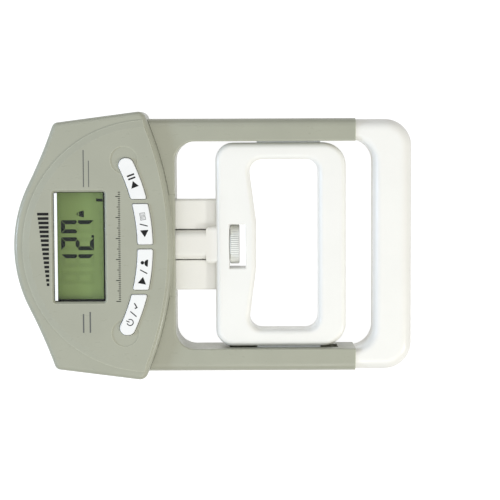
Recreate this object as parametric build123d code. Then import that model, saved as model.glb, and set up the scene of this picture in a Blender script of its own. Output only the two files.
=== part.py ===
from build123d import *
import os
from math import cos, pi, radians, sin

# Electronic hand dynamometer, lying on its back. +X runs from the display head to the palm grip,
# +Z out of the display, Y = 0 is the plane of symmetry. All sizes are in millimetres.

# ---------------------------------------------------------------- driving dimensions
overall_half_length = 95.0      # head apex to palm grip end, either side of the origin
body_height = 25.0              # rails and frame
split_z = 12.5                  # joint between front and rear shells, and the line of pull
wall = 2.2                      # shell thickness
seam = 0.15                     # visible gap between fixed shells
running_gap = 0.3               # gap beside parts that slide
fit_gap = 0.02                  # clearance of a screw in the boss it bites

# head outline, upper half
head_arc_radius = 66.0          # round far end
head_arc_end_y = 29.6
shoulder_corner = (-75.6, 58.9)
hip_y = 64.4                    # where the slanted side meets the curved edge
shoulder_radius = 3.0
hip_radius = 4.0

# head cover
cover_base_z = 22.0
cover_top_z = 30.0
disc_x = -30.7                  # centre of the raised disc
disc_radius = 60.0
disc_bevel_radius = 56.7
disc_edge_z = 29.3
disc_lip = 1.9                  # flat lip between the disc and the curved edge
skirt_top_z = 28.8
cover_edge_radius = 157.0       # curved edge towards the handle
cover_edge_x = -19.2
cover_tab_half_width = 24.4
cover_tab_x = -18.3             # the tab ends flush with the frame opening
cover_rounding = 2.4

# frame and rails
opening_left_x = -18.3
opening_corner_radius = 9.5
rail_inner_y = 49.8
rail_outer_y = 60.6
rail_end_x = 68.0
rail_wall = 2.1
rail_outer_rounding = 4.0
back_rounding = 2.2
edge_rounding = 0.8
groove_x = (7.4, 59.9)          # slot in which the guide shoes slide
groove_z = (7.0, 18.0)

# palm grip
palm_inset = 0.5                # the rail sleeve stands this proud of the palm grip
palm_inner_x = 76.9
palm_outer_corner = 12.8
palm_inner_corner = 10.5
palm_rounding = 5.5
palm_inner_rounding = 3.5
palm_wall = 2.5
spigot_start_x = 61.5
spigot_clearance = 0.15

# sliding handle
handle_x = (1.05, 63.7)
handle_half_width = 48.95
handle_z = (4.0, 21.0)
handle_left_corner = 8.3
handle_right_corner = 11.0
handle_rounding = 2.6
finger_half_width = 41.0
finger_left_x = 20.6
finger_flat_half_width = 10.7
finger_slant_x = 16.6
finger_right_x = 50.5
finger_corner = 6.0
shoe_x = (20.9, 51.4)
shoe_y = (44.0, 54.0)
shoe_z = (7.3, 17.7)

# neck that joins the handle to the load cell
wing_half_width = 21.9
wing_x = (-34.0, 3.0)
wing_z = (8.5, 16.5)
ridge_half_width = 7.0
ridge_start_x = -24.0
ridge_z = (5.0, 20.0)
ridge_rounding = 3.6
ridge_slot_width = 0.6
ridge_slot_end_x = -3.6
ridge_slot_web = 2.0            # left between the slots in the two faces
boss_half_width = 9.1
boss_corner = 1.6
boss_rounding = 2.4
window_x = (7.6, 15.4)
window_y = (-11.3, 9.85)
window_bevel = 0.35

# grip adjuster
wheel_x = (7.9, 12.4)
wheel_radius = 9.5
wheel_ribs = 60
rib_depth = 0.4
screw_radius = 4.0              # M8, pitch 1.25
screw_start_x = -27.5
screw_shoulder_x = 7.9
wheel_bore_radius = 3.0
bearing_clearance = 0.05
tube_radius = 5.5
tube_x = (-42.5, -12.0)
tube_bore_end_x = -41.0
sleeve_radius = 5.85
sleeve_end_x = 1.3
ring_x = (1.6, 2.6)
ring_radius = 6.2
washer_x = (6.85, 7.75)
washer_radius = 7.5

# load cell
cell_x = (-64.3, -46.0)
cell_half_width = 7.0
cell_z = (6.0, 19.0)
cell_slot_width = 1.4
cell_slot_reach = 4.2
cell_hole_radius = 1.7
stud_radius = 3.0
stud_start_x = -50.5

# electronics
board_z = (21.5, 23.1)
board_x = (-79.5, -24.0)
lcd_x = (-74.5, -52.2)
lcd_half_height = 25.3
display_x = (-75.9, -51.4)      # opening in the head cover
display_half_height = 26.2
display_corner = 1.0
button_arc_x = -122.9
button_radii = (87.0, 94.3)
button_inner_y = (1.1, 20.5)
button_outer_y = (22.7, 42.2)
button_top_z = 30.8
button_flange_z = (26.9, 27.7)
button_travel = 0.6
dimple_centre = (-42.1, 41.2)
dimple_radius = 6.5
dimple_depth = 0.35

# footprint (x0, x1, y0, y1) and height of the processor, amplifier, crystal and wire socket,
# which sit on the underside of the board
chip_boxes = [
    ((-58.0, -46.0, 28.0, 40.0), 1.4),
    ((-58.0, -53.0, -34.0, -28.0), 1.2),
    ((-44.0, -39.5, 30.0, 39.0), 1.5),
    ((-60.0, -52.0, 23.2, 27.0), 4.0),
]
capacitor_spot = (-47.0, -34.0)
capacitor_radius = 2.5
capacitor_height = 3.0

# batteries, two AAA cells lying across the head
battery_radius = 5.25
battery_length = 44.5
battery_nub = 0.8
battery_x = (-81.3, -70.8)
battery_z = 7.6
tray_x = (-87.7, -64.9)
tray_half_length = 24.25
tray_wall = 1.0
tray_roof_z = (13.2, 14.4)
door_x = -65.0
door_half_width = 26.0
door_lip = 1.0
door_z = (0.3, 2.0)
door_gap = 0.25
door_grooves = 5                # finger grip of the door
door_groove_x = -72.0
door_groove_pitch = 2.2

# shallow recess for the rating label in the back
label_x = (-57.4, -26.6)
label_half_width = 22.4
label_depth = 0.25

# fasteners: (x, y) of the screws on the +Y side
case_screw_spots = [(-71.0, 52.5), (-38.0, 54.0)]
rail_screw_spots = [(1.5, 55.2), (64.5, 55.2)]
palm_screw_spots = [(86.0, 30.0)]
handle_screw_spots = [(10.0, 38.0), (57.0, 32.0)]
board_screw_spots = [(-62.0, 38.0), (-43.6, 16.0)]
cell_screw_spots = [(-61.2, 3.7)]


# ---------------------------------------------------------------- helpers
def rect(x0, x1, y0, y1):
    return Pos((x0 + x1) / 2, (y0 + y1) / 2) * Rectangle(x1 - x0, y1 - y0)


def slab(face, z0, z1):
    return extrude(Pos(0, 0, z0) * face, z1 - z0)


def block(x0, x1, y0, y1, z0, z1):
    return slab(rect(x0, x1, y0, y1), z0, z1)


def post(x, y, z0, z1, radius):
    return slab(Pos(x, y) * Circle(radius), z0, z1)


def rod(x0, x1, radius, y=0.0, z=split_z):
    """A round bar along X."""
    return Pos((x0 + x1) / 2, y, z) * Rot(0, 90, 0) * Cylinder(radius, x1 - x0)


def both_sides(solid):
    return solid + mirror(solid, Plane.XZ)


def mirrored_spots(spots):
    return [(x, side * y) for x, y in spots for side in (1, -1)]


def edges_near(solid, z, test):
    """Edges that lie wholly at height z and whose middle passes the test."""
    chosen = [e for e in solid.edges() if abs(e.bounding_box().min.Z - z) < 1e-3]
    chosen = [e for e in chosen if abs(e.bounding_box().max.Z - z) < 1e-3]
    return [e for e in chosen if test(e.center())]


def pan_screw(x, y, z_head, z_tip, shank, head, head_height=1.6):
    """A cross-recessed pan-head screw driven upwards from the back."""
    body = post(x, y, z_head, z_head + head_height, head)
    body = chamfer(edges_near(body, z_head, lambda c: True), 0.4)
    body += post(x, y, z_head + head_height, z_tip, shank)
    for width, length in ((0.8, head * 1.3), (head * 1.3, 0.8)):
        recess_depth = head_height * 0.6
        body -= block(x - length / 2, x + length / 2, y - width / 2, y + width / 2,
                      z_head, z_head + recess_depth)
    return body


def screw_hole(x, y, z_head, z_tip, shank, head, head_height=1.6):
    """The hole that a pan screw sits in, open to the back."""
    return post(x, y, -1.0, z_head + head_height, head + 0.3) + post(x, y, z_head, z_tip, shank + fit_gap)


def export(name, shape):
    export_step(shape, "parts/" + name + ".step")


# ---------------------------------------------------------------- outlines
def below(point):
    return (point[0], -point[1])


def cover_edge_point(y):
    """A point of the head's curved edge towards the handle."""
    return (cover_edge_x - cover_edge_radius + (cover_edge_radius**2 - y**2) ** 0.5, y)


def head_flank():
    """The head's far outline, from one hip corner round the end to the other."""
    centre_x = -overall_half_length + head_arc_radius
    run = (head_arc_radius**2 - head_arc_end_y**2) ** 0.5
    arc_end = (centre_x - run, head_arc_end_y)
    hip = cover_edge_point(hip_y)
    return [
        ThreePointArc(below(arc_end), (-overall_half_length, 0), arc_end),
        TangentArc(arc_end, shoulder_corner, tangent=(head_arc_end_y, run)),
        Line(shoulder_corner, hip),
        Line(below(hip), below(shoulder_corner)),
        TangentArc(below(arc_end), below(shoulder_corner), tangent=(head_arc_end_y, -run)),
    ]


def round_head_corners(face):
    shoulders = [v for v in face.vertices() if abs(v.X - shoulder_corner[0]) < 0.01]
    face = fillet(shoulders, shoulder_radius)
    hips = [v for v in face.vertices() if abs(abs(v.Y) - hip_y) < 0.01]
    return fillet(hips, hip_radius)


def head_face():
    hip = cover_edge_point(hip_y)
    foot = cover_edge_point(rail_outer_y)
    middle = cover_edge_point((hip_y + rail_outer_y) / 2)
    corner = (opening_left_x, rail_outer_y)
    lines = [
        ThreePointArc(hip, middle, foot),
        Line(foot, corner),
        Line(corner, below(corner)),
        Line(below(corner), below(foot)),
        ThreePointArc(below(foot), below(middle), below(hip)),
    ]
    return round_head_corners(make_face(Curve() + head_flank() + lines))


def cover_face(with_tab=True):
    hip = cover_edge_point(hip_y)
    edge = ThreePointArc(hip, cover_edge_point(0), below(hip))
    face = round_head_corners(make_face(Curve() + head_flank() + [edge]))
    if with_tab:
        face += cover_tab_face()
    return face


def cover_tab_face():
    return rect(-40.0, cover_tab_x, -cover_tab_half_width, cover_tab_half_width)


def rail_face(y0, y1, x0, x1):
    return rect(x0, x1, y0, y1) + rect(x0, x1, -y1, -y0)


def frame_face():
    face = head_face() + rail_face(rail_inner_y, rail_outer_y, -30.0, rail_end_x)
    corners = [v for v in face.vertices()
               if abs(v.X - opening_left_x) < 0.01 and abs(abs(v.Y) - rail_inner_y) < 0.01]
    return fillet(corners, opening_corner_radius)


def palm_face():
    outer_y = rail_outer_y - palm_inset
    face = rect(rail_end_x, overall_half_length, -outer_y, outer_y)
    outer = [v for v in face.vertices() if v.X > rail_end_x + 1]
    face = fillet(outer, palm_outer_corner)
    inner_y = rail_inner_y + palm_inset
    inner = rect(rail_end_x - 30, palm_inner_x, -inner_y, inner_y)
    inner = fillet([v for v in inner.vertices() if v.X > rail_end_x], palm_inner_corner)
    return face - inner


def finger_face():
    outline = Polyline(
        (finger_left_x, finger_flat_half_width),
        (finger_slant_x, finger_half_width),
        (finger_right_x, finger_half_width),
        (finger_right_x, -finger_half_width),
        (finger_slant_x, -finger_half_width),
        (finger_left_x, -finger_flat_half_width),
        close=True,
    )
    face = make_face(outline)
    corners = [v for v in face.vertices() if abs(abs(v.Y) - finger_half_width) < 0.01]
    return fillet(corners, finger_corner)


def handle_outer_face():
    face = rect(*handle_x, -handle_half_width, handle_half_width)
    face = fillet([v for v in face.vertices() if v.X < 10], handle_left_corner)
    return fillet([v for v in face.vertices() if v.X > handle_x[1] - 1], handle_right_corner)


def button_face(y0, y1, side, round_end):
    ring = Circle(button_radii[1]) - Circle(button_radii[0])
    low, high = sorted((side * y0, side * y1))
    face = (Pos(button_arc_x, 0) * ring) & rect(-60.0, -20.0, low, high)
    if round_end:
        far = [v for v in face.vertices() if abs(abs(v.Y) - y1) < 0.01]
        face = fillet(far, 3.4)
        near = [v for v in face.vertices() if abs(abs(v.Y) - y0) < 0.01]
        return fillet(near, 0.8)
    return fillet(face.vertices(), 0.8)


# ---------------------------------------------------------------- frame shells
def frame_block():
    """Head base and rails as one rounded block, before it is hollowed and split."""
    solid = slab(frame_face(), 0, body_height)
    top_outer = edges_near(solid, body_height, lambda c: abs(c.Y) > rail_outer_y - 0.1 and c.X > -20)
    solid = fillet(top_outer, rail_outer_rounding)
    bottom = edges_near(solid, 0, lambda c: abs(c.Y) > rail_outer_y - 0.1 or c.X < opening_left_x - 1)
    solid = fillet(bottom, back_rounding)
    inner = [e for e in solid.edges()
             if abs(e.center().Z - body_height) < 0.01
             and abs(e.center().Y) < rail_inner_y + 0.1 and e.center().X > opening_left_x - 0.1]
    return fillet(inner, edge_rounding)


def neck_passage(gap):
    """Space that the neck needs where it enters the head."""
    wings = block(-60.0, opening_left_x + 5, -wing_half_width - gap, wing_half_width + gap,
                  wing_z[0] - gap, wing_z[1] + gap)
    ridge = block(-42.0, opening_left_x + 5, -ridge_half_width - gap, ridge_half_width + gap,
                  ridge_z[0] - gap, ridge_z[1] + gap)
    return wings + ridge


def rail_hollow(z0, z1):
    channel = rail_face(rail_inner_y + rail_wall, rail_outer_y - rail_wall, -24.0, rail_end_x + 1)
    groove = rail_face(rail_inner_y - 1, rail_inner_y + rail_wall + 1, *groove_x)
    return slab(channel, z0, z1) + slab(groove, *groove_z)


def make_front_frame(base):
    shell = base & block(-100, 100, -70, 70, split_z, body_height)
    shell -= slab(offset(cover_face(), seam, kind=Kind.INTERSECTION), cover_base_z, body_height + 1)
    shell -= slab(offset(head_face(), -wall), split_z, cover_base_z)
    shell -= rail_hollow(split_z, body_height - wall)
    shell -= neck_passage(running_gap + 0.1)
    for x, y in mirrored_spots(case_screw_spots):
        outwards = 8 if y > 0 else -8
        low, high = sorted((y, y + outwards))
        rib = block(x - 1.5, x + 1.5, low, high, split_z, cover_base_z)
        rib &= slab(offset(head_face(), -1.0), split_z, cover_base_z)
        shell += post(x, y, split_z, cover_base_z, 4.0) + rib
        shell -= post(x, y, split_z, cover_base_z, 1.5 + fit_gap)
    for x, y in mirrored_spots(rail_screw_spots[:1]):
        shell += post(x, y, split_z, body_height - wall, 3.4)
        shell -= post(x, y, split_z, body_height - wall - 1, 1.25 + fit_gap)
    return shell


def make_rear_frame(base):
    shell = base & block(-100, 100, -70, 70, 0, split_z)
    shell -= slab(offset(head_face(), -wall), wall, split_z)
    shell -= rail_hollow(wall, split_z)
    shell -= neck_passage(running_gap + 0.1)
    for x, y in mirrored_spots(case_screw_spots):
        shell += post(x, y, wall - 0.5, split_z, 4.0)
        shell -= screw_hole(x, y, 0.6, split_z + 1, 1.5, 2.8)
    for x, y in mirrored_spots(rail_screw_spots[:1]):
        shell += post(x, y, wall - 0.5, split_z, 3.4)
    for x, y in mirrored_spots(rail_screw_spots):
        shell -= screw_hole(x, y, 0.5, split_z + 1, 1.25, 2.2, 1.2)
    # foot of the load cell
    cell_foot = block(cell_x[0], -57.6, -cell_half_width, cell_half_width, wall - 0.5, cell_z[0])
    shell += cell_foot
    for x, y in mirrored_spots(cell_screw_spots):
        shell -= screw_hole(x, y, 0.5, 12.0, 1.5, 2.6)
    # battery compartment, open to the back and closed by the sliding door
    door_cut = rect(-100, door_x, -door_half_width, door_half_width)
    shell -= slab(door_cut, -1, wall + 0.01)
    lip_half_width = door_half_width + door_lip + door_gap
    lip_cut = rect(-100, door_x, -lip_half_width, lip_half_width)
    shell -= slab(lip_cut, 1.0, wall + 0.01)
    recess = fillet(rect(*label_x, -label_half_width, label_half_width).vertices(), 2.0)
    shell -= slab(recess, -1, label_depth)
    return shell


def make_battery_door(base):
    shell = base & block(-100, 100, -70, 70, 0, split_z)
    half = door_half_width - door_gap
    plate = shell & block(-100, door_x - door_gap, -half, half, *door_z)
    lips = shell & block(-100, door_x - door_gap, -half - door_lip, half + door_lip, 1.25, door_z[1])
    plate += lips
    for n in range(door_grooves):
        x = door_groove_x - door_groove_pitch * n
        plate -= block(x - 0.6, x + 0.6, -9.0, 9.0, 0, door_z[0] + 0.5)
    return plate


# ---------------------------------------------------------------- head cover and display
def disc_profile(sink):
    """The raised disc with its bevelled rim, lowered and drawn in by sink."""
    section = Polyline(
        (0, cover_base_z),
        (0, cover_top_z - sink),
        (disc_bevel_radius - sink, cover_top_z - sink),
        (disc_radius - sink, disc_edge_z - sink),
        (disc_radius - sink, cover_base_z),
        close=True,
    )
    return Pos(disc_x, 0, 0) * revolve(make_face(Plane.XZ * section), Axis.Z)


def cover_block():
    """The head cover's outer form: a skirt, rounded all round, with the disc on it."""
    skirt = slab(cover_face(with_tab=False), cover_base_z, skirt_top_z)
    skirt = fillet(edges_near(skirt, skirt_top_z, lambda c: True), cover_rounding)
    tab = slab(cover_tab_face(), cover_base_z, body_height)
    tab = fillet(edges_near(tab, body_height, lambda c: c.X > cover_tab_x - 0.1), edge_rounding)
    disc = slab(offset(cover_face(with_tab=False), -disc_lip), cover_base_z, cover_top_z + 1)
    disc &= disc_profile(0)
    top = edges_near(disc, cover_top_z, lambda c: c.X > disc_x + 5)
    disc = chamfer(top, 0.5)
    return skirt + tab + disc


def make_head_cover(button_faces):
    cover = cover_block()
    plain_face = cover_face(with_tab=False)
    room = slab(offset(plain_face, -wall), cover_base_z, skirt_top_z - wall)
    disc_room = slab(offset(plain_face, -wall - disc_lip), cover_base_z, cover_top_z) & disc_profile(wall)
    cover -= room + disc_room
    opening = fillet(rect(*display_x, -display_half_height, display_half_height).vertices(), display_corner)
    cover -= slab(opening, cover_base_z, cover_top_z + 1)
    cover -= extrude(Pos(0, 0, cover_top_z + 0.01) * offset(opening, 0.9), -1.2, taper=40)
    for button in button_faces:
        cover -= slab(offset(button, running_gap), cover_base_z, cover_top_z + 1)
    for side in (1, -1):
        cover -= post(dimple_centre[0], side * dimple_centre[1],
                      cover_top_z - dimple_depth, cover_top_z + 1, dimple_radius)
    for x, y in mirrored_spots(case_screw_spots):
        cover += post(x, y, cover_base_z, skirt_top_z - 1, 4.0)
        cover -= post(x, y, cover_base_z, 25.2, 1.5 + fit_gap)
    for x, y in mirrored_spots(board_screw_spots):
        cover += post(x, y, board_z[1], cover_top_z - 1, 2.4)
        cover -= post(x, y, board_z[1], 26.6, 1.0 + fit_gap)
    return cover


def make_display_window():
    x0, x1 = display_x
    h = display_half_height
    gap = 0.15
    raised = fillet(rect(x0 + gap, x1 - gap, -h + gap, h - gap).vertices(), display_corner)
    flange = rect(x0 - 1.4, x1 + 1.4, -h - 1.4, h + 1.4)
    under = cover_top_z - wall
    return slab(flange, under - 1.0, under) + slab(raised, under - 0.5, cover_top_z - 0.5)


def make_display_gasket():
    under = cover_top_z - wall - 1.0
    outer = rect(display_x[0] - 1.4, display_x[1] + 1.4,
                 -display_half_height - 1.4, display_half_height + 1.4)
    inner = rect(display_x[0] + 0.2, lcd_x[1], -lcd_half_height, display_half_height - 0.4)
    return slab(outer - inner, under - 1.6, under)


def make_lcd_holder():
    outer = rect(display_x[0] - 2.6, display_x[1] + 3.4,
                 -display_half_height - 3.0, display_half_height + 3.0)
    inner = rect(lcd_x[0], lcd_x[1] + 1.6, -lcd_half_height - 1.0, lcd_half_height + 1.0)
    top = cover_top_z - wall - 2.6
    return slab(fillet(outer.vertices(), 1.5) - inner, board_z[1], top)


def make_lcd_panel():
    x0, x1 = lcd_x[0] + 0.1, lcd_x[1] + 1.5
    h = lcd_half_height + 0.9
    top = cover_top_z - wall - 2.7
    rear_glass = block(x0, x1, -h, h, top - 1.5, top - 0.75)
    front_glass = block(x0, x1 - 1.8, -h, h, top - 0.75, top)
    return rear_glass + front_glass


def make_zebra_connector():
    x1 = lcd_x[1] + 1.4
    top = cover_top_z - wall - 2.7 - 1.5
    return block(x1 - 1.8, x1, -22.0, 22.0, board_z[1], top)


# ---------------------------------------------------------------- circuit board and buttons
def make_circuit_board():
    inside = offset(cover_face(), -wall - 1.6)
    face = inside & rect(*board_x, -50.0, 50.0)
    board = slab(face, *board_z)
    for x, y in mirrored_spots(board_screw_spots):
        board -= post(x, y, board_z[0], board_z[1], 1.0 + fit_gap)
    for x, y in mirrored_spots(case_screw_spots):
        board -= post(x, y, board_z[0], board_z[1], 4.4)
    return board


def button_spot(y_range, side):
    """Middle of a button's arc."""
    y = side * (y_range[0] + y_range[1]) / 2
    middle_radius = (button_radii[0] + button_radii[1]) / 2
    return (button_arc_x + (middle_radius**2 - y**2) ** 0.5, y)


def make_button(face, spot):
    cap = slab(face, button_flange_z[1] - 0.1, button_top_z)
    rim = [e for e in cap.edges() if abs(e.center().Z - button_top_z) < 0.01]
    cap = fillet(rim, 0.5)
    flange = slab(offset(face, 0.8), *button_flange_z)
    stem = post(*spot, 26.3, button_flange_z[0], 1.7)
    return cap + flange + stem


def make_tact_switches(spots):
    solids = []
    top = 26.3 - button_travel - 0.1
    for x, y in spots:
        base = block(x - 3.0, x + 3.0, y - 3.0, y + 3.0, board_z[1], top - 0.5)
        solids.append(base + post(x, y, top - 0.5, top, 1.6))
    return Compound(children=solids)


def make_circuit_chips():
    underside = board_z[0]
    solids = [block(*footprint, underside - height, underside) for footprint, height in chip_boxes]
    solids.append(post(*capacitor_spot, underside - capacitor_height, underside, capacitor_radius))
    return Compound(children=solids)


# ---------------------------------------------------------------- load cell
def make_load_cell():
    cell = block(*cell_x, -cell_half_width, cell_half_width, *cell_z)
    slots = ((cell_x[0] + 6.4, -1), (cell_x[1] - 5.6, 1))
    for x, side in slots:
        low, high = sorted((side * (cell_half_width + 1), -side * cell_slot_reach))
        cell -= block(x - cell_slot_width / 2, x + cell_slot_width / 2, low, high, *cell_z)
    middle = (slots[0][0] + slots[1][0]) / 2
    cell -= post(middle, 0, cell_z[0], cell_z[1], cell_hole_radius)
    cell -= rod(stud_start_x, cell_x[1] + 1, stud_radius + fit_gap)
    for x, y in mirrored_spots(cell_screw_spots):
        cell -= post(x, y, cell_z[0], 12.0, 1.5 + fit_gap)
    return cell


def make_strain_gauges():
    middle = (cell_x[0] + 6.4 + cell_x[1] - 5.6) / 2
    solids = []
    for side in (1, -1):
        y = side * cell_half_width
        low, high = sorted((y, y + side * 0.25))
        for z in (9.0, 16.0):
            solids.append(block(middle - 2.2, middle + 2.2, low, high, z - 1.6, z + 1.6))
    return Compound(children=solids)


def make_sensor_wires():
    """Flat loom from the gauges to the socket under the board, as straight runs and round elbows."""
    x = -56.0
    route = [(x, cell_half_width + 0.25, 12.5), (x, 25.0, 12.5), (x, 25.0, board_z[0] - 4.0)]
    radius = 1.0
    loom = Pos(*route[1]) * Sphere(radius)
    loom += Pos(x, (route[0][1] + route[1][1]) / 2, 12.5) * Rot(90, 0, 0) * Cylinder(
        radius, route[1][1] - route[0][1])
    loom += post(x, 25.0, route[1][2], route[2][2], radius)
    return loom


def make_link_tube():
    tube = rod(*tube_x, tube_radius)
    tube = chamfer([e for e in tube.edges() if e.geom_type == GeomType.CIRCLE], 0.4)
    tube -= rod(tube_bore_end_x, tube_x[1] + 1, screw_radius + bearing_clearance)
    return tube + rod(stud_start_x + 0.5, tube_x[0], stud_radius)


def make_lock_nut():
    nut = Pos(cell_x[1] + 0.05, 0, split_z) * Rot(0, 90, 0) * extrude(RegularPolygon(5.6, 6), 3.2)
    return nut - rod(cell_x[1] - 1, tube_x[0] + 1, stud_radius + fit_gap)


# ---------------------------------------------------------------- batteries
def make_batteries():
    solids = []
    for x, side in zip(battery_x, (1, -1)):
        can = Pos(x, -side * battery_nub / 2, battery_z) * Rot(90, 0, 0) * Cylinder(
            battery_radius, battery_length - battery_nub)
        can = fillet([e for e in can.edges() if e.geom_type == GeomType.CIRCLE], 0.5)
        nub_y = side * (battery_length / 2 - battery_nub)
        nub = Pos(x, nub_y, battery_z) * Rot(90, 0, 0) * Cylinder(1.9, battery_nub * 2)
        solids.append(can + nub)
    return Compound(children=solids)


def make_battery_contacts():
    """A flat plate at each positive end, and a plate with a conical spring at each negative end."""
    solids = []
    inner = tray_half_length - tray_wall
    for x, side in zip(battery_x, (1, -1)):
        for end in (1, -1):
            y = end * inner
            low, high = sorted((y, y - end * 0.3))
            plate = block(x - 4.2, x + 4.2, low, high, battery_z - 4.0, battery_z + 4.0)
            if end != side:
                for n in range(2):
                    ring = Torus(3.6 - 0.7 * n, 0.26)
                    plate += Pos(x, y - end * (0.3 + 0.1 + 0.22 * n), battery_z) * Rot(90, 0, 0) * ring
            solids.append(plate)
    return Compound(children=solids)


def make_battery_tray():
    outer = rect(*tray_x, -tray_half_length, tray_half_length)
    inner = rect(tray_x[0] + tray_wall, tray_x[1] - 0.6, -tray_half_length + tray_wall,
                 tray_half_length - tray_wall)
    walls = slab(outer - inner, wall + 0.2, tray_roof_z[0])
    return walls + slab(outer, *tray_roof_z)


# ---------------------------------------------------------------- palm grip
def palm_block():
    top = body_height - palm_inset
    solid = slab(palm_face(), palm_inset, top)
    for z in (palm_inset, top):
        outer = edges_near(solid, z, lambda c: c.X > rail_end_x + 0.5
                           and (abs(c.Y) > rail_outer_y - 3 or c.X > 90))
        solid = fillet(outer, palm_rounding)
    for z in (palm_inset, top):
        inner = edges_near(solid, z, lambda c: c.X > rail_end_x + 0.5
                           and abs(c.Y) < rail_inner_y + 1 and c.X < 80)
        solid = fillet(inner, palm_inner_rounding)
    return solid


def spigots():
    inset = rail_wall + spigot_clearance
    face = rail_face(rail_inner_y + inset, rail_outer_y - inset, spigot_start_x, rail_end_x + 3)
    return slab(face, wall + spigot_clearance, body_height - wall - spigot_clearance)


def make_palm_half(base, front):
    z0, z1 = (split_z, body_height) if front else (0, split_z)
    half = base & block(60, 100, -70, 70, z0, z1)
    if front:
        hollow_z = (split_z, body_height - palm_inset - palm_wall)
    else:
        hollow_z = (palm_inset + palm_wall, split_z)
    half -= slab(offset(palm_face(), -palm_wall), *hollow_z)
    half += spigots() & block(60, 100, -70, 70, z0, z1)
    for x, y in mirrored_spots(palm_screw_spots):
        boss_z0, boss_z1 = (split_z, body_height - 2) if front else (2, split_z)
        half += post(x, y, boss_z0, boss_z1, 3.6)
        half -= screw_hole(x, y, 1.2, 20.0, 1.25, 2.4)
    for x, y in mirrored_spots(rail_screw_spots[1:]):
        half -= post(x, y, 0, 20.5, 1.25 + fit_gap)
    return half


# ---------------------------------------------------------------- sliding handle
def handle_block():
    solid = slab(handle_outer_face() - finger_face(), *handle_z)
    rims = [e for z in handle_z for e in edges_near(solid, z, lambda c: True)]
    solid = fillet(rims, handle_rounding)
    wings = block(*wing_x, -wing_half_width, wing_half_width, *wing_z)
    wings = fillet([e for e in wings.edges().filter_by(Axis.X) if abs(e.center().Y) > 1], 1.2)
    solid += wings
    for side in (1, -1):
        y0, y1 = sorted((side * ridge_half_width, side * (ridge_half_width + ridge_slot_width)))
        for z0, z1 in ((0, split_z - ridge_slot_web), (split_z, body_height)):
            solid -= block(wing_x[0] - 1, ridge_slot_end_x, y0, y1, z0, z1)
    passage = ridge_half_width + ridge_slot_width
    solid -= block(wing_x[0] - 1, ridge_start_x, -passage, passage, 0, body_height)
    ridge = block(ridge_start_x, 3.0, -ridge_half_width, ridge_half_width, *ridge_z)
    ridge = fillet([e for e in ridge.edges().filter_by(Axis.X)], ridge_rounding)
    boss = block(ridge_slot_end_x, 3.0, -boss_half_width, boss_half_width, *ridge_z)
    corners = [e for e in boss.edges().filter_by(Axis.Z) if e.center().X < 0]
    boss = chamfer(corners, boss_corner)
    boss = fillet([e for e in boss.edges().filter_by(Axis.X)], boss_rounding)
    return solid + ridge + boss


def handle_mechanism_space():
    """Everything cut from the handle for the wheel, the screw and the link tube."""
    space = block(*window_x, *window_y, 0, body_height)
    for z, direction in ((handle_z[1] + 0.01, -1), (handle_z[0] - 0.01, 1)):
        mouth = rect(window_x[0] - window_bevel, window_x[1] + window_bevel,
                     window_y[0] - window_bevel, window_y[1] + window_bevel)
        space += extrude(Pos(0, 0, z) * mouth, direction * window_bevel * 1.3, taper=35)
    space += rod(ridge_start_x - 1, sleeve_end_x, sleeve_radius)
    space += rod(sleeve_end_x, ring_x[1] + 0.3, ring_radius + 0.3)
    space += rod(0, window_x[0] + 0.1, screw_radius + bearing_clearance + 0.01)
    space += rod(washer_x[0], window_x[0] + 0.1, washer_radius + 0.05)
    return space


def make_handle_half(base, space, front):
    z0, z1 = (split_z, body_height) if front else (0, split_z)
    half = base & block(-50, 80, -60, 60, z0, z1)
    hollow = offset(handle_outer_face() - finger_face(), -wall)
    hollow -= rect(-5, finger_left_x + 5, -15, 15)
    hollow_z = (split_z, handle_z[1] - wall) if front else (handle_z[0] + wall, split_z)
    half -= slab(hollow, *hollow_z)
    half -= space
    slot = both_sides(block(shoe_x[0] - 0.05, shoe_x[1] + 0.05, shoe_y[0] - 0.05, 52, *shoe_z))
    half -= slot
    for x, y in mirrored_spots(handle_screw_spots):
        boss_z0, boss_z1 = (split_z, handle_z[1] - 1) if front else (handle_z[0] + 1, split_z)
        half += post(x, y, boss_z0, boss_z1, 3.3)
        half -= screw_hole(x, y, handle_z[0] + 0.6, 18.0, 1.25, 2.2, 1.2)
    return half


def make_guide_shoes():
    shoe = block(*shoe_x, *shoe_y, *shoe_z)
    tips = [e for e in shoe.edges().filter_by(Axis.Z) if e.center().Y > shoe_y[1] - 1]
    shoe = fillet(tips, 1.5)
    return Compound(children=[shoe, mirror(shoe, Plane.XZ)])


def make_thumbwheel():
    outline = []
    for n in range(wheel_ribs):
        for share, depth in ((0.0, 0.0), (0.42, 0.0), (0.58, rib_depth), (0.84, rib_depth)):
            angle = 2 * pi * (n + share) / wheel_ribs
            radius = wheel_radius - depth
            outline.append((radius * cos(angle), radius * sin(angle)))
    toothed = extrude(make_face(Polyline(*outline, close=True)), wheel_x[1] - wheel_x[0])
    half_width = (wheel_x[1] - wheel_x[0]) / 2
    drum = Pos(0, 0, half_width) * Cylinder(wheel_radius + 0.01, 2 * half_width)
    drum = chamfer([e for e in drum.edges() if e.geom_type == GeomType.CIRCLE], 0.5)
    wheel = toothed & drum
    wheel = Pos(wheel_x[0], 0, split_z) * Rot(0, 90, 0) * wheel
    return wheel - rod(wheel_x[0] - 1, wheel_x[1] + 1, wheel_bore_radius + fit_gap)


def make_adjusting_screw():
    screw = rod(screw_start_x, screw_shoulder_x, screw_radius)
    tip = [e for e in screw.edges() if abs(e.center().X - screw_start_x) < 0.1]
    screw = chamfer(tip, 0.8)
    screw -= rod(*ring_x, screw_radius + 1) - rod(*ring_x, screw_radius - 0.4)
    return screw + rod(screw_shoulder_x, wheel_x[1] - 0.2, wheel_bore_radius)


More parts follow.
